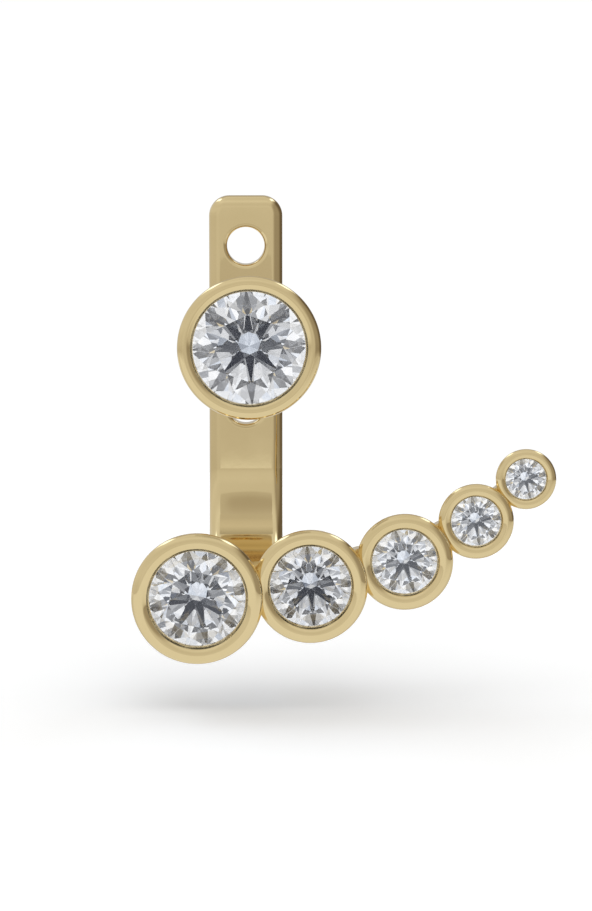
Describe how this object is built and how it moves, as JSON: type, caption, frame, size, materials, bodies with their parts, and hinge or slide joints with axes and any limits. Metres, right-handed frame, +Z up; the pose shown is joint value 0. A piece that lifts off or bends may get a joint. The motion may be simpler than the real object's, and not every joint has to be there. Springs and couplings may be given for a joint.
{
  "type": "ear jacket earring",
  "caption": "Ear jacket earring: a bezel-set stud whose post carries a J-shaped strap that runs behind the lobe and ends in front in a rising row of graduated bezel-set stones.",
  "frame": {"origin": "on the post's axis, midway between the backs of the bezels and the strap's front face: the middle of the ear lobe", "axes": "+X to the right seen from the front, +Y from the front to the back along the post, +Z up"},
  "size_m": [0.0145, 0.0122, 0.0155],
  "materials": {
    "gold": "polished",
    "stone": "faceted and polished"
  },
  "bodies": {
    "stud": {"stud_setting": "gold", "stud_stone": "stone", "ear_back": "gold"},
    "jacket": {"jacket": "gold", "jacket_stone_1": "stone", "jacket_stone_2": "stone", "jacket_stone_3": "stone", "jacket_stone_4": "stone", "jacket_stone_5": "stone"}
  },
  "joints": [
    {"name": "jacket_swing", "type": "hinge", "parent": "stud", "child": "jacket", "pos_m": [0, 0, 0], "axis": [0, 1, 0], "continuous": true}
  ]
}
